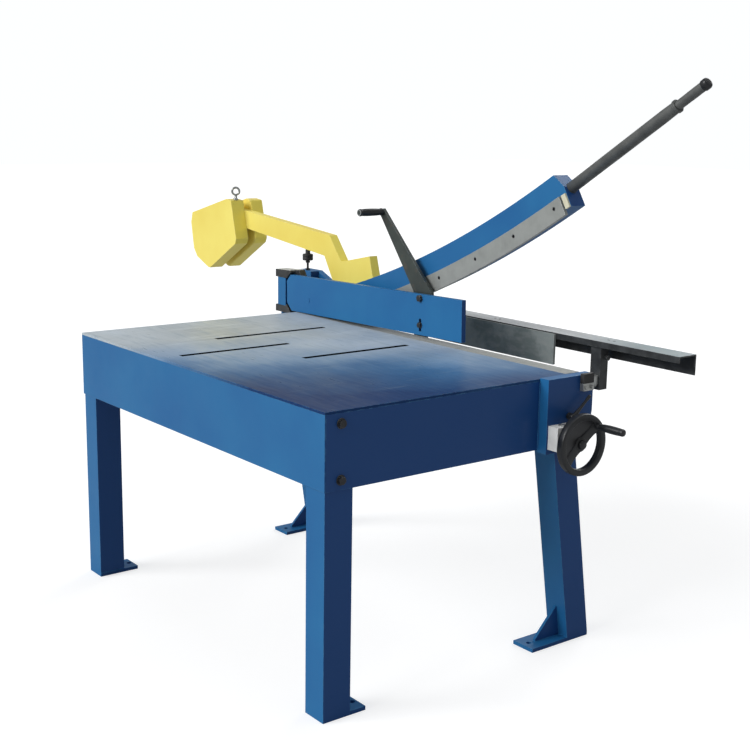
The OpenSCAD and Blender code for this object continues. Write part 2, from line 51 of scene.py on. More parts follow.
# Camera at the photograph's viewing angle
YAW, PITCH, ROLL = (math.radians(angle) for angle in (52.211, 11.547, 0.885))
CAMERA_AT = (2.6938, -1.8841, 1.3229)
LENS_MM = 59.91
SENSOR_MM = 36

# Landmarks on the part that the looks follow, in metres
SKIRT_INSIDE_X = 0.59
SKIRT_INSIDE_Y = -0.385
GAUGE_TOP_Z = (0.7441, 0.7447)
GAUGE_SHADE_X = (0.30, 0.55)

# Looks: linear colours
BLUE = (0.020, 0.150, 0.345)
BLUE_DEEP = (0.016, 0.120, 0.310)
# Painted shade: the blue on faces that look along +X
BLUE_PAINTED_SHADE = (0.012, 0.060, 0.205)
# Paler edges of the blue: partly wear, partly a painted highlight
BLUE_WEAR_AND_HIGHLIGHT = (0.075, 0.230, 0.420)
YELLOW = (0.900, 0.780, 0.190)
YELLOW_DEEP = (0.820, 0.660, 0.130)
# Painted light: the lighter yellow on faces that look along +X
YELLOW_PAINTED_SIDE_LIGHT = (0.960, 0.820, 0.150)
# Paler edges of the yellow: partly wear, partly a painted highlight
YELLOW_WEAR_AND_HIGHLIGHT = (0.900, 0.830, 0.380)
STEEL = (0.330, 0.340, 0.325)
STEEL_DARK = (0.200, 0.210, 0.205)
STEEL_BRIGHT = (0.560, 0.570, 0.560)
BLACK = (0.016, 0.017, 0.018)
BLACK_GREY = (0.045, 0.048, 0.050)
# Painted reflection on the gauge bar's top: pale and grey, with painted shade darker to the right
GAUGE_REFLECTION_PALE = (0.60, 0.62, 0.63)
GAUGE_REFLECTION_GREY = (0.46, 0.48, 0.49)
GAUGE_REFLECTION_SHADE = (0.17, 0.23, 0.25)
# Painted reflection across the table: pale and grey at the left, deep blue at the right front
TABLE_PALE_REFLECTION = (0.50, 0.56, 0.61)
TABLE_GREY_REFLECTION = (0.36, 0.40, 0.41)
TABLE_STREAK = (0.24, 0.31, 0.37)
TABLE_SHEEN = (0.58, 0.63, 0.66)
TABLE_BLUE = (0.070, 0.190, 0.370)
TABLE_DEEP_REFLECTION = (0.006, 0.034, 0.125)
TABLE_SCRATCH = (0.35, 0.42, 0.47)
# Painted shade in the table's slots
TABLE_SLOT_SHADE = (0.002, 0.002, 0.003)
LEVER_GREEN = (0.052, 0.064, 0.055)
LEVER_DARK = (0.034, 0.042, 0.039)

# Softened edges and cleaning of the carried-over CAD nodes
WELD_MM = 0.02
FLAT_DEG = 0.5
SHARP_DEG = 32
EDGE_MM_OTHERS = 0.6

# Light: what falls on the part, and what the camera sees behind it
SKY_LIGHT = 0.38
BACKDROP = 1.02
FLOOR_GLOW = 0.62
FLOOR_HALF_M = 30

# Colour sockets of a Mix node
MIX_FIRST, MIX_SECOND, MIX_RESULT = 6, 7, 2

SLOT_OF = {part["node"]: part["material_slot"] for part in frame["record"]["subparts"]}
BODY_OF = {
    node: body
    for body, nodes in frame["record"]["behaviour"]["bodies"].items()
    for node in nodes
}


# ---------------------------------------------------------------- materials


class Shader:
    """One procedural material, drawn in the part's own coordinates."""

    def __init__(self, name):
        self.material = bpy.data.materials.new(name)
        self.material.use_nodes = True
        self.tree = self.material.node_tree
        self.surface = self.tree.nodes["Principled BSDF"]
        self.place = self.node("TexCoord").outputs["Object"]

    def node(self, kind, **settings):
        made = self.tree.nodes.new("ShaderNode" + kind)
        for key, value in settings.items():
            setattr(made, key, value)
        return made

    def feed(self, socket, value):
        """Links an output to the socket, or sets a plain value or colour on it."""
        if isinstance(value, bpy.types.NodeSocket):
            self.tree.links.new(value, socket)
        elif isinstance(value, tuple) and len(value) == 3 and socket.type == "RGBA":
            socket.default_value = (*value, 1)
        else:
            socket.default_value = value

    def scaled(self, scale, stretch=(1, 1, 1)):
        """The part's own coordinates, scaled for a texture."""
        made = self.node("Mapping")
        self.feed(made.inputs["Vector"], self.place)
        self.feed(made.inputs["Scale"], tuple(scale * s for s in stretch))
        return made.outputs["Vector"]

    def noise(self, scale, stretch=(1, 1, 1), detail=4, roughness=0.55):
        made = self.node("TexNoise")
        self.feed(made.inputs["Vector"], self.scaled(scale, stretch))
        self.feed(made.inputs["Scale"], 1.0)
        self.feed(made.inputs["Detail"], detail)
        self.feed(made.inputs["Roughness"], roughness)
        return made.outputs["Fac"]

    def cells(self, scale):
        made = self.node("TexVoronoi")
        self.feed(made.inputs["Vector"], self.scaled(scale))
        self.feed(made.inputs["Scale"], 1.0)
        return made.outputs["Distance"]

    def span(self, value, low, high, start=0.0, end=1.0):
        """Maps low..high of a value to start..end, held at both ends."""
        made = self.node("MapRange")
        self.feed(made.inputs["Value"], value)
        self.feed(made.inputs["From Min"], low)
        self.feed(made.inputs["From Max"], high)
        self.feed(made.inputs["To Min"], start)
        self.feed(made.inputs["To Max"], end)
        return made.outputs["Result"]

    def calc(self, operation, first, second):
        made = self.node("Math", operation=operation)
        self.feed(made.inputs[0], first)
        self.feed(made.inputs[1], second)
        return made.outputs[0]

    def blend(self, factor, first, second):
        made = self.node("Mix", data_type="RGBA")
        self.feed(made.inputs["Factor"], factor)
        self.feed(made.inputs[MIX_FIRST], first)
        self.feed(made.inputs[MIX_SECOND], second)
        return made.outputs[MIX_RESULT]

    def axis(self, name, vector=None):
        made = self.node("SeparateXYZ")
        self.feed(made.inputs[0], vector or self.place)
        return made.outputs[name]

    def facing_up(self):
        """1 on a face that looks up, 0 on a side face."""
        return self.span(self.axis("Z", self.node("NewGeometry").outputs["Normal"]), 0.6, 0.9)

    def facing_right(self):
        """1 on a face that looks along +X, 0 on the others."""
        return self.span(self.axis("X", self.node("NewGeometry").outputs["Normal"]), 0.35, 0.75)

    def edge(self, radius_mm):
        """1 on a sharp edge, 0 on open faces, broken up by noise."""
        rounded = self.node("Bevel", samples=4)
        self.feed(rounded.inputs["Radius"], radius_mm * MM)
        turn = self.node("VectorMath", operation="DOT_PRODUCT")
        self.feed(turn.inputs[0], rounded.outputs["Normal"])
        self.feed(turn.inputs[1], self.node("NewGeometry").outputs["Normal"])
        near = self.span(turn.outputs["Value"], 0.99, 0.86)
        return self.calc("MULTIPLY", near, self.span(self.noise(60, detail=6), 0.42, 0.62))

    def bump(self, height, strength, depth_mm):
        made = self.node("Bump")
        self.feed(made.inputs["Height"], height)
        self.feed(made.inputs["Strength"], strength)
        self.feed(made.inputs["Distance"], depth_mm * MM)
        self.feed(self.surface.inputs["Normal"], made.outputs["Normal"])

    def finish(self, colour, roughness, metallic=0.0, specular=0.5):
        for name, value in (
            ("Base Color", colour),
            ("Roughness", roughness),
            ("Metallic", metallic),
            ("Specular IOR Level", specular),
        ):
            self.feed(self.surface.inputs[name], value)
        return self.material


def enamel(name, base, deep, shade, highlight_and_wear):
    """Brushed-on enamel: soft colour drift, orange peel, a few chips and pale edges that are
    partly wear and partly a painted highlight.

    Faces that look along +X take the shade colour: light and shade painted onto that side, painted
    shade on the blue and painted light on the yellow.
    """
    s = Shader(name)
    drift = s.span(s.noise(3.5, detail=3), 0.35, 0.68)
    runs = s.span(s.noise(14, stretch=(1, 1, 0.25), detail=5), 0.40, 0.75, 0.0, 0.35)
    colour = s.blend(drift, base, deep)
    colour = s.blend(runs, colour, deep)
    # Painted light and shade on faces that look along +X
    colour = s.blend(s.facing_right(), colour, shade)
    # Paler edges: partly wear, partly a painted highlight
    colour = s.blend(s.edge(2.5), colour, highlight_and_wear)
    chips = s.span(s.noise(42, detail=7, roughness=0.7), 0.735, 0.755)
    colour = s.blend(chips, colour, STEEL_DARK)
    rough = s.span(s.noise(9, detail=5), 0.3, 0.7, 0.30, 0.46)
    peel = s.calc("ADD", s.noise(260, detail=2), s.calc("MULTIPLY", chips, -0.8))
    s.bump(peel, 0.35, 0.12)
    return s.finish(colour, rough, specular=0.2)


def table_paint():
    """Table steel with a painted reflection: pale grey at the left, through blue to deep blue
    towards the right front.
    """
    s = Shader("table_steel")
    grey = s.blend(s.span(s.noise(2.2, detail=4), 0.35, 0.65), TABLE_PALE_REFLECTION, TABLE_GREY_REFLECTION)
    streaks = s.noise(9, stretch=(1, 7, 1), detail=6, roughness=0.65)
    grey = s.blend(s.span(streaks, 0.52, 0.70, 0.0, 0.45), grey, TABLE_STREAK)
    sheen = s.noise(5, stretch=(5, 1, 1), detail=6, roughness=0.6)
    grey = s.blend(s.span(sheen, 0.55, 0.72, 0.0, 0.5), grey, TABLE_SHEEN)
    # Painted reflection: pale grey at the left fading through blue to deep blue at the right front
    wander = s.span(s.noise(3, detail=3), 0.3, 0.7, -0.12, 0.12)
    across = s.calc("ADD", s.axis("X"), s.calc("MULTIPLY", s.axis("Y"), -0.55))
    across = s.calc("ADD", across, wander)
    colour = s.blend(s.span(across, -0.25, 0.32), grey, TABLE_BLUE)
    colour = s.blend(s.span(across, 0.15, 0.60), colour, TABLE_DEEP_REFLECTION)
    scratches = s.span(s.noise(150, stretch=(1, 0.03, 1), detail=2), 0.68, 0.72, 0.0, 0.25)
    colour = s.blend(scratches, colour, TABLE_SCRATCH)
    # Paler edges: partly wear, partly a painted highlight
    colour = s.blend(s.edge(2), colour, BLUE_WEAR_AND_HIGHLIGHT)
    # Painted shade: the side faces inside the skirt, the slot walls, are painted near black
    inside = s.calc("LESS_THAN", s.calc("ABSOLUTE", s.axis("X"), 0.0), SKIRT_INSIDE_X)
    behind = s.calc("GREATER_THAN", s.axis("Y"), SKIRT_INSIDE_Y)
    upright = s.calc("SUBTRACT", 1.0, s.facing_up())
    slot_shade_mask = s.calc("MULTIPLY", s.calc("MULTIPLY", inside, behind), upright)
    colour = s.blend(slot_shade_mask, colour, TABLE_SLOT_SHADE)
    rough = s.span(streaks, 0.3, 0.7, 0.26, 0.44)
    s.bump(s.calc("ADD", s.noise(40, detail=2), scratches), 0.06, 0.10)
    return s.finish(colour, rough, specular=0.09)


def ground_steel():
    """Ground tool steel: fine lines across the blade, faint stains."""
    s = Shader("ground_steel")
    lines = s.noise(700, stretch=(1, 1, 0.02), detail=2)
    stain = s.span(s.noise(16, detail=6), 0.40, 0.72)
    colour = s.blend(stain, (0.345, 0.358, 0.338), (0.250, 0.262, 0.243))
    colour = s.blend(s.span(lines, 0.3, 0.7, 0.0, 0.35), colour, (0.38, 0.39, 0.38))
    colour = s.blend(s.edge(1), colour, (0.62, 0.63, 0.62))
    s.bump(lines, 0.25, 0.05)
    return s.finish(colour, s.span(stain, 0.0, 1.0, 0.34, 0.50), metallic=0.35, specular=0.5)


def metal(name, light, dark, rough, metallic):
    """Turned or oxided metal: mottled tone, fine grain, edges rubbed brighter."""
    s = Shader(name)
    mottle = s.span(s.noise(55, detail=6, roughness=0.65), 0.35, 0.68)
    colour = s.blend(mottle, light, dark)
    colour = s.blend(s.calc("MULTIPLY", s.edge(0.8), 0.7), colour, STEEL_BRIGHT)
    s.bump(s.noise(260, detail=3), 0.3, 0.08)
    return s.finish(colour, s.span(mottle, 0, 1, rough, rough + 0.16), metallic=metallic)


def dark_tube():
    """Old steel tube: grey-green mottling along its length, small rust freckles."""
    s = Shader("dark_tube")
    mottle = s.span(s.noise(26, detail=7, roughness=0.7), 0.36, 0.66)
    colour = s.blend(mottle, (0.135, 0.140, 0.136), (0.075, 0.080, 0.078))
    freckles = s.span(s.noise(140, detail=5, roughness=0.7), 0.62, 0.70)
    colour = s.blend(freckles, colour, (0.085, 0.062, 0.048))
    colour = s.blend(s.edge(0.8), colour, STEEL)
    s.bump(s.noise(190, detail=5), 0.45, 0.15)
    return s.finish(colour, s.span(mottle, 0, 1, 0.34, 0.55), metallic=0.35)


def mill_scale():
    """Raw rolled plate: dark scale with paler rubbed patches and rust bloom."""
    s = Shader("mill_scale")
    patch = s.span(s.noise(9, detail=6, roughness=0.6), 0.46, 0.54)
    colour = s.blend(patch, (0.160, 0.185, 0.176), (0.235, 0.262, 0.252))
    cloud = s.span(s.noise(24, stretch=(1, 1, 2.5), detail=6), 0.45, 0.70, 0.0, 0.6)
    colour = s.blend(cloud, colour, (0.300, 0.312, 0.296))
    rust = s.span(s.noise(70, detail=6, roughness=0.7), 0.64, 0.74, 0.0, 0.7)
    colour = s.blend(rust, colour, (0.120, 0.075, 0.045))
    colour = s.blend(s.edge(1.2), colour, STEEL)
    s.bump(s.noise(150, detail=5), 0.35, 0.12)
    return s.finish(colour, s.span(patch, 0, 1, 0.42, 0.58), metallic=0.1)


def black_paint():
    """Satin black paint; the gauge bar's top is painted pale grey as a painted reflection, broken
    into streaks like wear, with painted shade making it darker to the right.
    """
    s = Shader("black_paint")
    body = s.blend(s.span(s.noise(30, detail=5), 0.35, 0.7), BLACK, BLACK_GREY)
    # Painted reflection on the gauge bar's top, in streaks, with painted shade darker to the right
    highlight_and_wear = s.span(s.noise(18, stretch=(0.4, 2, 1), detail=6), 0.30, 0.62, 0.82, 1.0)
    pale = s.blend(s.span(s.noise(90, detail=5), 0.4, 0.7), GAUGE_REFLECTION_PALE, GAUGE_REFLECTION_GREY)
    pale = s.blend(s.span(s.axis("X"), *GAUGE_SHADE_X), pale, GAUGE_REFLECTION_SHADE)
    above = s.span(s.axis("Z"), *GAUGE_TOP_Z)
    top = s.calc("MULTIPLY", s.calc("MULTIPLY", s.facing_up(), highlight_and_wear), above)
    colour = s.blend(top, body, pale)
    colour = s.blend(s.calc("MULTIPLY", s.edge(1.5), 0.6), colour, STEEL)
    s.bump(s.noise(300, detail=2), 0.3, 0.08)
    return s.finish(colour, s.span(highlight_and_wear, 0.82, 1, 0.34, 0.48), specular=0.45)


def lever_paint():
    """Grey-green hammered paint, rubbed to brown steel where it is handled."""
    s = Shader("lever_paint")
    hammer = s.cells(260)
    colour = s.blend(s.span(s.noise(20, detail=5), 0.35, 0.7), LEVER_GREEN, LEVER_DARK)
    rubbed = s.span(s.noise(34, detail=6, roughness=0.7), 0.56, 0.66)
    colour = s.blend(rubbed, colour, (0.075, 0.066, 0.052))
    colour = s.blend(s.edge(1.5), colour, (0.20, 0.26, 0.32))
    s.bump(hammer, 0.3, 0.12)
    return s.finish(colour, s.span(rubbed, 0, 1, 0.36, 0.5), metallic=0.2)


def plastic(name, tone, bright, grain, rough):
    """Moulded plastic or rubber: fine grain, slight bloom."""
    s = Shader(name)
    bloom = s.span(s.noise(24, detail=5), 0.40, 0.75)
    colour = s.blend(bloom, tone, bright)
    colour = s.blend(s.calc("MULTIPLY", s.edge(1), 0.5), colour, (0.11, 0.12, 0.14))
    s.bump(s.noise(grain, detail=3), 0.35, 0.08)
    return s.finish(colour, s.span(bloom, 0, 1, rough, rough + 0.14), specular=0.5)


def casting(name, tone, shade, speck):
    """Pale brushed paint over a rough casting, with fine dirt in it."""
    s = Shader(name)
    colour = s.blend(s.span(s.noise(40, detail=5), 0.4, 0.7), tone, shade)
    dirt = s.span(s.noise(130, detail=6, roughness=0.7), 0.64, 0.74, 0.0, 0.6)
    colour = s.blend(dirt, colour, speck)
    s.bump(s.noise(220, detail=4), 0.5, 0.2)
    return s.finish(colour, s.span(dirt, 0, 1, 0.45, 0.6), specular=0.35)


MATERIALS = {
    "table_steel": table_paint(),
    "blue_paint": enamel("blue_paint", BLUE, BLUE_DEEP, BLUE_PAINTED_SHADE, BLUE_WEAR_AND_HIGHLIGHT),
    "ground_steel": ground_steel(),
    "dark_fasteners": metal(
        "dark_fasteners", (0.030, 0.031, 0.034), (0.016, 0.017, 0.019), 0.34, 0.3
    ),
    "bright_steel": metal("bright_steel", (0.46, 0.47, 0.46), (0.30, 0.31, 0.30), 0.26, 0.75),
    "bronze": metal("bronze", (0.50, 0.34, 0.14), (0.33, 0.20, 0.08), 0.30, 0.7),
    "black_rubber": plastic(
        "black_rubber", (0.014, 0.014, 0.015), (0.034, 0.034, 0.036), 420, 0.58
    ),
    "black_paint": black_paint(),
    "grey_casting": casting(
        "grey_casting", (0.90, 0.90, 0.87), (0.82, 0.82, 0.79), (0.30, 0.30, 0.28)
    ),
    "cream_primer": casting(
        "cream_primer", (0.66, 0.63, 0.47), (0.55, 0.52, 0.38), (0.26, 0.24, 0.18)
    ),
    "dark_tube": dark_tube(),
    "black_plastic": plastic(
        "black_plastic", (0.008, 0.009, 0.010), (0.017, 0.019, 0.024), 500, 0.34
    ),
    "yellow_paint": enamel("yellow_paint", YELLOW, YELLOW_DEEP, YELLOW_PAINTED_SIDE_LIGHT, YELLOW_WEAR_AND_HIGHLIGHT),
    "lever_paint": lever_paint(),
    "mill_scale": mill_scale(),
}


# ------------------------------------------------------- carried-over nodes

# Width in mm of the softened edges on a carried-over CAD node; the rest get EDGE_MM_OTHERS
EDGE_MM = {
    "table_top": 0.7,
    "apron_front": 1.0,
    "apron_sides": 0.8,
    "cheek_right": 1.8,
    "cheek_left": 1.5,
    "leg_front_left": 1.2,
    "leg_front_right": 1.2,
    "leg_rear_left": 1.2,
    "leg_rear_right": 1.2,
    "pivot_plate_front": 1.5,
    "pivot_plate_rear": 1.5,
    "stop_bracket": 2.0,
    "blade_beam": 2.0,
    "hold_down_bar": 1.5,
    "counterweight_arm": 2.5,
    "counterweight_front": 4.5,
    "counterweight_rear": 4.5,
    "clamp_lever": 1.5,
    "wheel_bearing_box": 2.0,
    "post_brackets": 1.5,
    "carriages": 1.0,
}


def soften(node, width_mm):
    """Joins the imported faces and rounds the sharp edges, without touching the mesh itself."""
    weld = node.modifiers.new("weld", "WELD")
    weld.merge_threshold = WELD_MM * MM
    flat = node.modifiers.new("flat", "DECIMATE")
    flat.decimate_type = "DISSOLVE"
    flat.angle_limit = math.radians(FLAT_DEG)
    bevel = node.modifiers.new("bevel", "BEVEL")
    bevel.width = width_mm * MM
    bevel.segments = 2
    bevel.limit_method = "ANGLE"
    bevel.angle_limit = math.radians(SHARP_DEG)
    node.modifiers.new("normals", "WEIGHTED_NORMAL").keep_sharp = True


def dress(name, material):
    node = frame["nodes"][name]
    for holder in node.material_slots:
        holder.material = material
    soften(node, EDGE_MM.get(name, EDGE_MM_OTHERS))


# The hold-down's pin is painted over with the bar that it holds
for name, slot in SLOT_OF.items():
    dress(name, MATERIALS["blue_paint" if name == "hold_down_pin" else slot])


# ----------------------------------------------------------- mesh helpers


def solids(name):
    """Lowest and highest corner of each separate solid in a CAD node, in a steady order."""
    mesh = frame["nodes"][name].data
    leader = {}

    def find(key):
        while leader.setdefault(key, key) != key:
            key = leader[key]
        return key

    keys = [tuple(round(c / MM, 2) for c in v.co) for v in mesh.vertices]
    for polygon in mesh.polygons:
        first = find(keys[polygon.vertices[0]])
        for index in polygon.vertices[1:]:
            leader[find(keys[index])] = first
    groups = {}
    for key in set(keys):
        groups.setdefault(find(key), []).append(key)
    boxes = []
    for points in groups.values():
        low = Vector([min(p[i] for p in points) for i in range(3)]) * MM
        high = Vector([max(p[i] for p in points) for i in range(3)]) * MM
        boxes.append((low, high))
    return sorted(boxes, key=lambda box: tuple(round(c, 4) for c in box[0]))


def middle(box):
    return (box[0] + box[1]) / 2


def size_mm(box):
    return (box[1] - box[0]) / MM


def placer(at, axis, spin=0.0):
    """Turns local millimetres, with z along the axis, into a place on the part."""
    turn = Vector(axis).to_track_quat("Z", "Y").to_matrix() @ Matrix.Rotation(spin, 3, "Z")
    return lambda x, y, z: Vector(at) + turn @ (Vector((x, y, z)) * MM)


def skin(bm, rings):
    """Faces between rings of points; a ring of one point closes the shape."""
    made = [[bm.verts.new(point) for point in ring] for ring in rings]
    for a, b in zip(made, made[1:]):
        count = max(len(a), len(b))
        for i in range(count if count > 1 else 0):
            j = (i + 1) % count
            corners = (a[i % len(a)], a[j % len(a)], b[j % len(b)], b[i % len(b)])
            bm.faces.new(dict.fromkeys(corners))


def lathe(bm, put, profile, sides=48, shape=None):
    """A turned shape from (radius, height) pairs; shape changes a ring's radius by angle."""
    rings = []
    for radius, height in profile:
        if radius == 0:
            rings.append([put(0, 0, height)])
            continue
        ring = []
        for i in range(sides):
            angle = 2 * math.pi * i / sides
            r = shape(radius, angle) if shape else radius
            ring.append(put(r * math.cos(angle), r * math.sin(angle), height))
        rings.append(ring)
    skin(bm, rings)


def hex_radius(flat, angle):
    """Distance from the middle to a hexagon's side, flat being half its width across flats."""
    return flat / math.cos((angle + math.pi / 6) % (math.pi / 3) - math.pi / 6)


def hex_head(bm, put, corner, low, high, washer=0.0):
    """A chamfered hexagon head or nut between two heights, on an optional round flange."""
    sides = 36
    chamfer_slope = 0.6
    flat = corner * math.cos(math.pi / 6)
    cut = flat * 0.96
    foot, shoulder, crown = [], [], []
    for i in range(sides):
        angle = 2 * math.pi * i / sides
        c, d = math.cos(angle), math.sin(angle)
        r = hex_radius(flat, angle)
        foot.append(put(r * c, r * d, low))
        shoulder.append(put(r * c, r * d, high - (r - cut) * chamfer_slope))
        crown.append(put(cut * c, cut * d, high))
    skin(bm, [[put(0, 0, low)], foot, shoulder, crown, [put(0, 0, high - 0.3)]])
    if washer:
        edge = 0.4
        base = low - 2
        lathe(bm, put, [
            (0, base), (washer - edge, base), (washer, base + edge),
            (washer, low - edge), (washer - edge, low), (0, low),
        ])


def thread(bm, put, radius, low, high, pitch):
    """A threaded rod drawn as close ridges."""
    root = radius - pitch / 2
    profile = [(0, low), (root, low)]
    height = low
    while height + pitch <= high:
        profile += [(radius, height + pitch / 2), (root, height + pitch)]
        height += pitch
    profile += [(root, high), (0, high)]
    lathe(bm, put, profile, sides=24)


def socket_head(bm, put, radius, depth, top):
    """A round screw head with a hexagon socket, its top at the height given."""
    key = radius * 0.5
    mouth = key * 1.16
    base = top - depth
    rim = [(0, base), (radius, base), (radius, top - 0.5), (radius - 0.5, top), (mouth, top)]
    socket = [(key, top), (key, top - depth * 0.6), (0, top - depth * 0.7)]
    lathe(bm, put, rim, sides=36)
    lathe(bm, put, socket, sides=36, shape=hex_radius)
    lathe(bm, put, [(mouth, top), (key * 1.155, top - 0.05)], sides=36)


def rounded(width, depth, radius, corner_steps=3):
    """Corner points of a rounded rectangle centred at 0, in order."""
    points = []
    for index, (sx, sy) in enumerate(((1, 1), (-1, 1), (-1, -1), (1, -1))):
        for step in range(corner_steps + 1):
            angle = math.pi / 2 * (index + step / corner_steps)
            points.append((
                sx * (width / 2 - radius) + radius * math.cos(angle),
                sy * (depth / 2 - radius) + radius * math.sin(angle),
            ))
    return points


def sweep_bead(bm, start, end, radius_mm):
    """A weld bead along a straight run, its ripples drawn as small swellings."""
    sides = 8
    ripple_mm = 2.2
    run = Vector(end) - Vector(start)
    length = run.length / MM
    count = max(6, int(length / ripple_mm))
    put = placer(start, run)
    rings = [[put(0, 0, 0)]]
    for i in range(count + 1):
        swell = radius_mm * (0.82 + 0.18 * math.cos(i * math.pi))
        wander = 0.35 * math.sin(i * 1.7)
        z = length * i / count
        rings.append([
            put(swell * math.cos(2 * math.pi * k / sides) + wander * 0.4,
                swell * math.sin(2 * math.pi * k / sides), z)
            for k in range(sides)
        ])
    rings.append([put(0, 0, length)])
    skin(bm, rings)


def capped(rings):
    """The rings with a middle point added at both ends."""
    ends = [[sum(ring, Vector()) / len(ring)] for ring in (rings[0], rings[-1])]
    return [ends[0], *rings, ends[1]]


def piece(name, bm, like, stands_for=(), slot=None, sharp_deg=35):
    """Turns a finished bmesh into a piece that rides with a CAD node's body."""
    bmesh.ops.remove_doubles(bm, verts=bm.verts, dist=0.002 * MM)
    bmesh.ops.recalc_face_normals(bm, faces=bm.faces)
    mesh = bpy.data.meshes.new(name)
    bm.to_mesh(mesh)
    bm.free()
    mesh.shade_smooth()
    mesh.set_sharp_from_angle(angle=math.radians(sharp_deg))
    made = bpy.data.objects.new(name, mesh)
    bpy.context.scene.collection.objects.link(made)
    slot = slot or SLOT_OF[like]
    mesh.materials.append(MATERIALS[slot])
    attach(made, BODY_OF[like])
    if stands_for:
        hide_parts(*stands_for)


# --------------------------------------------------------------- fasteners


def leg_bolts():
    bm = bmesh.new()
    for box in solids("leg_bolts"):
        side = 1 if middle(box).x > 0 else -1
        outer = box[1].x if side > 0 else box[0].x
        length = size_mm(box).x
        put = placer((outer, middle(box).y, middle(box).z), X * side, spin=0.2)
        hex_head(bm, put, 10, -7, 0, washer=12)
        thread(bm, put, 6, -length, -8, 1.75)
        hex_head(bm, put, 10, 6 - length, 15.8 - length)
    piece("leg_bolt_set", bm, "leg_bolts", ["leg_bolts"], sharp_deg=30)


def blade_screws():
    bm = bmesh.new()
    for box in solids("blade_screws"):
        put = placer((middle(box).x, box[0].y, middle(box).z), -Y, spin=0.4)
        socket_head(bm, put, 4.9, 6, 0.9)
    piece("blade_screw_set", bm, "blade_screws", ["blade_screws"])


def arm_bolts():
    bm = bmesh.new()
    for index, box in enumerate(solids("arm_bolts")):
        put = placer((middle(box).x, box[1].y, middle(box).z), Y, spin=index * 0.5)
        length = size_mm(box).y
        hex_head(bm, put, 13, -2.5, 0)
        thread(bm, put, 7.9, -length, -3, 2)
    piece("arm_bolt_set", bm, "arm_bolts", ["arm_bolts"])


def side_stop_bolts():
    bm = bmesh.new()
    for index, box in enumerate(solids("side_stop_bolts")):
        put = placer((box[1].x, middle(box).y, middle(box).z), X, spin=0.3 + index)
        hex_head(bm, put, 5, -4.6, 0)
        lathe(bm, put, [(0, -5), (4.8, -5), (4.8, -4.5), (0, -4.5)], sides=24)
    piece("side_stop_bolt_set", bm, "side_stop_bolts", ["side_stop_bolts"])


def hold_down_bolts():
    """The lever's pivot bolt and the depth stop's bolt, with washers and nuts."""
    bm = bmesh.new()
    low, high = sorted(solids("hold_down_bolts"), key=lambda box: box[0].z)
    put = placer((middle(high).x, high[0].y, middle(high).z), -Y, spin=0.5)
    length = size_mm(high).y
    hex_head(bm, put, 10, -7.2, 0)
    lathe(bm, put, [(0, -8), (9.6, -8), (9.8, -7.8), (9.8, -7.2), (0, -7.2)], sides=36)
    thread(bm, put, 5.9, -length + 0.5, -8, 1.5)
    hex_head(bm, put, 9, -length + 0.2, 6.2 - length)
    put = placer((middle(low).x, low[0].y, middle(low).z), -Y, spin=0.25)
    length = size_mm(low).y
    hex_head(bm, put, 8, -5, 0)
    lathe(bm, put, [(0, -6.8), (8.8, -6.8), (9, -6.6), (9, -5.2), (8.8, -5), (0, -5)], sides=36)
    thread(bm, put, 4.7, -length + 0.5, -7, 1.25)
    hex_head(bm, put, 8, -length + 0.2, 6 - length)
    piece("hold_down_bolt_set", bm, "hold_down_bolts", ["hold_down_bolts"])


def pivot_nut():
    bm = bmesh.new()
    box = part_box("pivot_nut")
    put = placer((middle(box).x, box[1].y, middle(box).z), Y)
    hex_head(bm, put, 33.8, -17, 0)
    washer = [(0, -20), (33, -20), (33.6, -19.4), (33.6, -17.4), (33, -17), (0, -17)]
    lathe(bm, put, washer, sides=60)
    piece("pivot_lock_nut", bm, "pivot_nut", ["pivot_nut"])


def box_screw():
    bm = bmesh.new()
    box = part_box("box_screw")
    put = placer((middle(box).x, middle(box).y, box[1].z), Z)
    lathe(bm, put, [
        (0, -10), (6.8, -10), (6.8, -3), (8.6, -3), (9, -2.6),
        (9, -0.8), (8.2, 0), (4.4, 0), (4, -0.5),
    ])
    lathe(bm, put, [(3.46, -0.5), (3.46, -2.4), (0, -2.8)], sides=36, shape=hex_radius)
    lathe(bm, put, [(4, -0.5), (3.46, -0.5)], sides=36)
    piece("bearing_box_plug", bm, "box_screw", ["box_screw"], slot="bright_steel")


def stop_stud():
    bm = bmesh.new()
    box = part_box("stop_stud")
    put = placer((middle(box).x, middle(box).y, box[0].z), Z, spin=0.3)
    thread(bm, put, 4, 0, size_mm(box).z, 1.25)
    hex_head(bm, put, 7.5, 41, 47)
    hex_head(bm, put, 7.5, 66, 72)
    piece("stop_threaded_stud", bm, "stop_stud", ["stop_stud"])


def stop_buffer():
    bm = bmesh.new()
    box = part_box("stop_buffer")
    put = placer((middle(box).x, middle(box).y, box[0].z), Z)
    lathe(bm, put, [
        (0, 0), (15.6, 0), (17, 1.2), (17.5, 3.5), (17.5, 9), (16.6, 10.5), (17.5, 12),
        (17.5, 17.5), (16.8, 19.8), (15, 21), (9.6, 21), (8.4, 22), (8, 24), (8, 34),
        (7.4, 36.2), (5.6, 37.2), (0, 37.2),
    ])
    piece("rubber_buffer", bm, "stop_buffer", ["stop_buffer"])


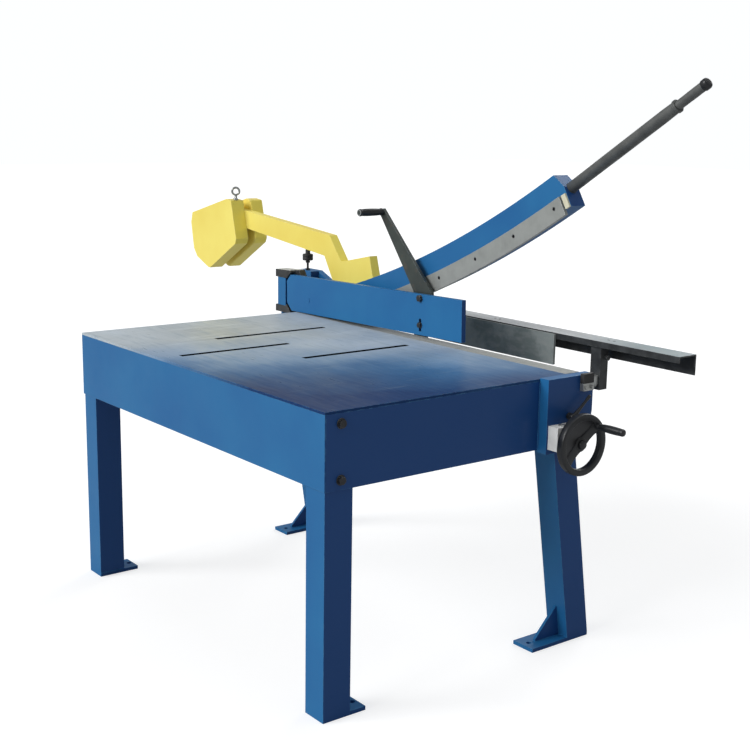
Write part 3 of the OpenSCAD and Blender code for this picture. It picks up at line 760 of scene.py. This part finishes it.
def eye_bolt():
    """A forged lifting eye: an oval-section ring that swells into its collar."""
    bm = bmesh.new()
    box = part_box("eye_bolt")
    centre = Vector((middle(box).x, middle(box).y, box[1].z - 16.5 * MM))
    put = placer(centre, Matrix.Rotation(math.radians(60), 3, "Z") @ -Y)
    ring_r = 12.5
    steps, sides = 48, 16
    rings = []
    for i in range(steps + 1):
        around = 2 * math.pi * i / steps
        swell = max(0.0, -math.sin(around)) ** 4
        ring = []
        for k in range(sides):
            turn = 2 * math.pi * k / sides
            radius = ring_r + (3.9 - 0.6 * swell) * math.cos(turn)
            side = (3.4 + 0.9 * swell) * math.sin(turn)
            ring.append(put(radius * math.cos(around), radius * math.sin(around), side))
        rings.append(ring)
    skin(bm, rings)
    put = placer((centre.x, centre.y, centre.z - 30 * MM), Z)
    lathe(bm, put, [
        (0, -27), (3.3, -27), (4, -26), (4, 0), (8.4, 0), (9, 0.7), (9, 4),
        (8.2, 5.2), (6.2, 6.5), (5, 9), (4.6, 13), (4.4, 15.5), (0, 15.5),
    ], sides=36)
    piece("lifting_eye", bm, "eye_bolt", ["eye_bolt"])


# ------------------------------------------------------ handle, grips, wheel


def handle():
    """Outer tube, its collar with a lock screw, the inner rod and the rounded end cap."""
    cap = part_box("handle_cap")
    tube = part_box("handle_tube")
    rise = (middle(cap) - middle(tube)).normalized()
    end = max(
        (v.co for v in frame["nodes"]["handle_cap"].data.vertices),
        key=lambda point: point.dot(rise),
    )
    top = middle(tube) + rise * (end - middle(tube)).dot(rise)
    put = placer(top, rise)
    bm = bmesh.new()
    lathe(bm, put, [
        (11.5, -527), (14.4, -527), (15, -526), (15, -140), (14.2, -104.5),
        (14.2, -103), (11.6, -103), (11.6, -120), (11.5, -527),
    ])
    piece("handle_outer_tube", bm, "handle_tube", ["handle_tube"])
    bm = bmesh.new()
    lathe(bm, put, [
        (11.6, -103), (15.7, -103), (16.4, -102.2), (16.4, -97),
        (15.8, -96.2), (12.4, -96), (11.6, -96.6), (11.6, -103),
    ])
    screw_z = -99.6
    screw_at = put(0, -16, screw_z)
    outward = placer(screw_at, screw_at - put(0, 0, screw_z))
    socket_head(bm, outward, 2.6, 1.2, 0.9)
    piece("handle_lock_collar", bm, "handle_collar", ["handle_collar"])
    bm = bmesh.new()
    lathe(bm, put, [
        (0, -267), (10.8, -267), (11.5, -266), (11.5, -92), (11.25, -90),
        (11.25, -62), (11.5, -60), (11.5, -17), (0, -17),
    ])
    piece("handle_inner_rod", bm, "handle_rod", ["handle_rod"])
    bm = bmesh.new()
    lathe(bm, put, [
        (0, -17), (12.2, -17), (13.1, -16.4), (13.5, -15.2), (13.5, -7),
        (13.1, -4.4), (11.8, -2), (9.6, -0.5), (6.5, 0), (0, 0),
    ])
    piece("handle_end_cap", bm, "handle_cap", ["handle_cap"])


def lever_grip():
    """The lever's waisted grip, and the washer that holds it on."""
    bm = bmesh.new()
    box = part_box("lever_grip")
    put = placer((middle(box).x, box[1].y, middle(box).z), -Y)
    lathe(bm, put, [
        (7.3, 0), (9.6, 0), (10.6, 0.8), (11, 2.4), (10.6, 5), (9.7, 7), (9.6, 9), (10.4, 22),
        (10.9, 42), (10.7, 62), (10, 74), (9.8, 76), (10.6, 77.4), (10.9, 79.4), (10.4, 81.2),
        (9.4, 82), (7.3, 82), (7.3, 0),
    ])
    piece("lever_hand_grip", bm, "lever_grip", ["lever_grip"])
    bm = bmesh.new()
    lathe(bm, put, [
        (0, 82.2), (9, 82.2), (9.3, 82.5), (9.3, 83.5),
        (9, 83.8), (6.4, 84), (5.6, 83.4), (0, 83),
    ])
    piece("lever_end_washer", bm, "clamp_lever", slot="bright_steel")


def wheel_grip():
    bm = bmesh.new()
    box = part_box("wheel_grip")
    put = placer((box[0].x, middle(box).y, middle(box).z), X)
    lathe(bm, put, [
        (5.4, 0), (7.6, 0), (8.4, 0.8), (8.6, 2), (8, 4.5), (8, 6), (9.2, 14), (9.9, 30), (10, 46),
        (9.6, 60), (9, 68), (9.2, 70), (9.2, 72.5), (8.2, 75), (6, 76), (0, 76), (0, 70.5),
        (5.4, 70.3), (5.4, 0),
    ])
    piece("wheel_hand_grip", bm, "wheel_grip", ["wheel_grip"])


def handwheel():
    """Dished wheel: squared rim, one spoke pair with a web above it, stepped hub, grip spindle."""
    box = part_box("handwheel")
    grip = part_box("wheel_grip")
    centre = Vector((box[0].x + 14 * MM, middle(box).y, middle(box).z))
    offset = middle(grip) - centre
    angle = math.atan2(offset.z, offset.y)
    radius = size_mm(box).z / 2
    rim_middle = radius - 8
    inner = 8
    reach = radius - 9

    def outwards(turn):
        """Direction in the wheel's plane."""
        return Vector((0, math.cos(turn), math.sin(turn)))

    def radius_at(share):
        """Radius in mm along a spoke, for a share from the hub to the rim."""
        return inner + (reach - inner) * share

    def dish(share):
        """How far in mm a spoke stands out along the shaft there."""
        return -6.5 + 7.5 * share * share

    bm = bmesh.new()
    put = placer(centre, X)
    rim = [(rim_middle + a, b - 1) for a, b in rounded(16, 20, 4, corner_steps=4)]
    lathe(bm, put, rim + rim[:1], sides=96)
    lathe(bm, put, [
        (10, -14), (17.6, -14), (19, -12.6), (19, -4),
        (18, -2.2), (16, -1), (10, -1), (10, -14),
    ])
    cap = [(0, 7.5), (8, 7.3), (10.6, 6.2), (12, 4), (12.6, -1.6), (0, -1.6)]
    lathe(bm, put, cap, sides=36)

    along = outwards(angle)
    across = X.cross(along)
    spoke_steps = 12
    for side in (1, -1):
        rings = []
        for step in range(spoke_steps + 1):
            share = step / spoke_steps
            width = 31 - 5 * math.sin(share * math.pi)
            depth = 9 - 2 * share
            at = centre + along * side * radius_at(share) * MM
            rings.append([
                at + across * a * MM + X * (b + dish(share)) * MM
                for a, b in rounded(width, depth, 2.8)
            ])
        skin(bm, capped(rings))

    shares = [step / 10 for step in range(11)]
    front = [(radius_at(share), dish(share) + 1.2) for share in shares]
    rear = [(radius_at(share), dish(share) - 3.2) for share in reversed(shares)]
    web_steps = 40
    rings = []
    for step in range(web_steps + 1):
        out = outwards(angle + math.pi * step / web_steps)
        rings.append([centre + out * r * MM + X * x * MM for r, x in front + rear])
    skin(bm, capped(rings))

    spindle = placer((centre.x, middle(grip).y, middle(grip).z), X)
    lathe(bm, spindle, [
        (0, -4.5), (7.5, -4.5), (8, -4), (8, 9.6), (7.2, 11.2),
        (5, 11.2), (5, 80), (4.2, 81), (0, 81),
    ], sides=36)
    piece("wheel_casting", bm, "handwheel", ["handwheel"])


def lock_lever():
    """Clamping lever: ribbed hub, waisted arm and an oval knob."""
    low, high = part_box("lock_lever")
    hub_r = 9
    hub = Vector((low.x, low.y + hub_r * MM, low.z + hub_r * MM))
    bm = bmesh.new()
    lathe(bm, placer(hub, X), [
        (0, 0), (4.8, 0), (4.8, 2), (8, 2), (hub_r, 3), (hub_r, 7), (8.4, 7.6), (8.4, 9),
        (hub_r, 9.6), (hub_r, 19), (8.4, 21), (6.6, 22.6), (5.2, 23), (4.6, 22.4),
        (4.4, 24.6), (3.4, 25.4), (0, 25.6),
    ])
    lean = math.radians(50)
    arm = Vector((0, math.sin(lean), math.cos(lean)))
    lathe(bm, placer(hub + X * 18.2 * MM, arm), [
        (0, 0), (6.6, 2), (6.2, 10), (4.9, 18), (4.0, 30), (3.5, 44), (3.5, 56), (3.9, 59),
        (4.4, 61), (4.5, 66), (4.4, 70), (3.8, 72.6), (2.4, 73.8), (0, 74),
    ], sides=36)
    piece("gauge_lock_lever", bm, "lock_lever", ["lock_lever"])


# -------------------------------------------------------------- weld beads


def weld_beads():
    """Fillet welds where the legs meet their foot plates, and up the cheek's front seam."""
    bm = bmesh.new()
    leg = 75 * MM
    gap = 2.4 * MM
    for name in ("leg_front_left", "leg_front_right", "leg_rear_left", "leg_rear_right"):
        low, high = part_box(name)
        front = "front" in name
        foot = low.z + 10 * MM
        y0 = low.y if front else high.y - leg
        y1 = y0 + leg
        inner = high.x if low.x < 0 else low.x
        facing = y1 if front else y0
        sweep_bead(bm, (inner, y0 + gap, foot), (inner, y1 - gap, foot), 2.4)
        sweep_bead(bm, (low.x + gap, facing, foot), (high.x - gap, facing, foot), 2.4)
    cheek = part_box("cheek_right")[0]
    skirt_low, skirt_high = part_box("apron_sides")
    seam = cheek.x + 1.5 * MM
    foot, top = skirt_low.z + 4 * MM, skirt_high.z - 4 * MM
    sweep_bead(bm, (seam, cheek.y, foot), (seam, cheek.y, top), 2.2)
    piece("weld_bead_set", bm, "leg_front_right", slot="blue_paint", sharp_deg=60)


leg_bolts()
blade_screws()
arm_bolts()
side_stop_bolts()
hold_down_bolts()
pivot_nut()
box_screw()
stop_stud()
stop_buffer()
eye_bolt()
handle()
lever_grip()
wheel_grip()
handwheel()
lock_lever()
weld_beads()


# ------------------------------------------------------- camera and studio


def camera():
    level = math.cos(PITCH)
    forward = Vector((-math.sin(YAW) * level, math.cos(YAW) * level, -math.sin(PITCH)))
    right = forward.cross(Z).normalized()
    up = right.cross(forward)
    upright = Matrix((right, up, -forward)).transposed()
    rolled = (upright @ Matrix.Rotation(ROLL, 3, "Z")).to_4x4()
    made = bpy.data.objects.new("camera", bpy.data.cameras.new("camera"))
    made.data.lens = LENS_MM
    made.data.sensor_width = SENSOR_MM
    made.matrix_world = Matrix.Translation(CAMERA_AT) @ rolled
    bpy.context.scene.collection.objects.link(made)
    bpy.context.scene.camera = made


def floor():
    """A pale studio floor that glows a little, so that it meets the backdrop without a line."""
    mesh = bpy.data.meshes.new("floor")
    signs = ((-1, -1), (1, -1), (1, 1), (-1, 1))
    corners = [(x * FLOOR_HALF_M, y * FLOOR_HALF_M, 0) for x, y in signs]
    mesh.from_pydata(corners, [], [(0, 1, 2, 3)])
    made = bpy.data.objects.new("floor", mesh)
    bpy.context.scene.collection.objects.link(made)
    s = Shader("floor")
    drift = s.span(s.noise(1.5, detail=3), 0.3, 0.7)
    tone = s.blend(drift, (0.50, 0.505, 0.51), (0.48, 0.485, 0.49))
    seen = s.node("LightPath").outputs["Is Camera Ray"]
    s.feed(s.surface.inputs["Emission Color"], (1.0, 1.0, 1.0))
    s.feed(s.surface.inputs["Emission Strength"], s.span(seen, 0.0, 1.0, 0.0, FLOOR_GLOW))
    mesh.materials.append(s.finish(tone, 0.9, specular=0.1))


def sun(name, direction, strength, softness_deg):
    data = bpy.data.lights.new(name, "SUN")
    data.energy = strength
    data.angle = math.radians(softness_deg)
    made = bpy.data.objects.new(name, data)
    made.rotation_euler = Vector(direction).to_track_quat("-Z", "Y").to_euler()
    bpy.context.scene.collection.objects.link(made)


def studio():
    """White backdrop; the light that falls on the part is softer than the backdrop looks."""
    world = bpy.data.worlds.new("studio")
    bpy.context.scene.world = world
    world.use_nodes = True
    tree = world.node_tree
    back = tree.nodes["Background"]
    back.inputs["Color"].default_value = (0.97, 0.985, 1.0, 1)
    path = tree.nodes.new("ShaderNodeLightPath")
    level = tree.nodes.new("ShaderNodeMapRange")
    tree.links.new(path.outputs["Is Camera Ray"], level.inputs["Value"])
    level.inputs["To Min"].default_value = SKY_LIGHT
    level.inputs["To Max"].default_value = BACKDROP
    tree.links.new(level.outputs["Result"], back.inputs["Strength"])
    sun("key", (0.34, 0.80, -0.50), 1.5, 24)
    sun("front", (0.0, 0.88, -0.47), 1.0, 24)
    sun("top", (-0.10, -0.25, -1.0), 0.35, 40)
    sun("back", (0.35, -0.85, -0.40), 1.1, 30)
    bpy.context.scene.view_settings.view_transform = "Standard"


camera()
floor()
studio()
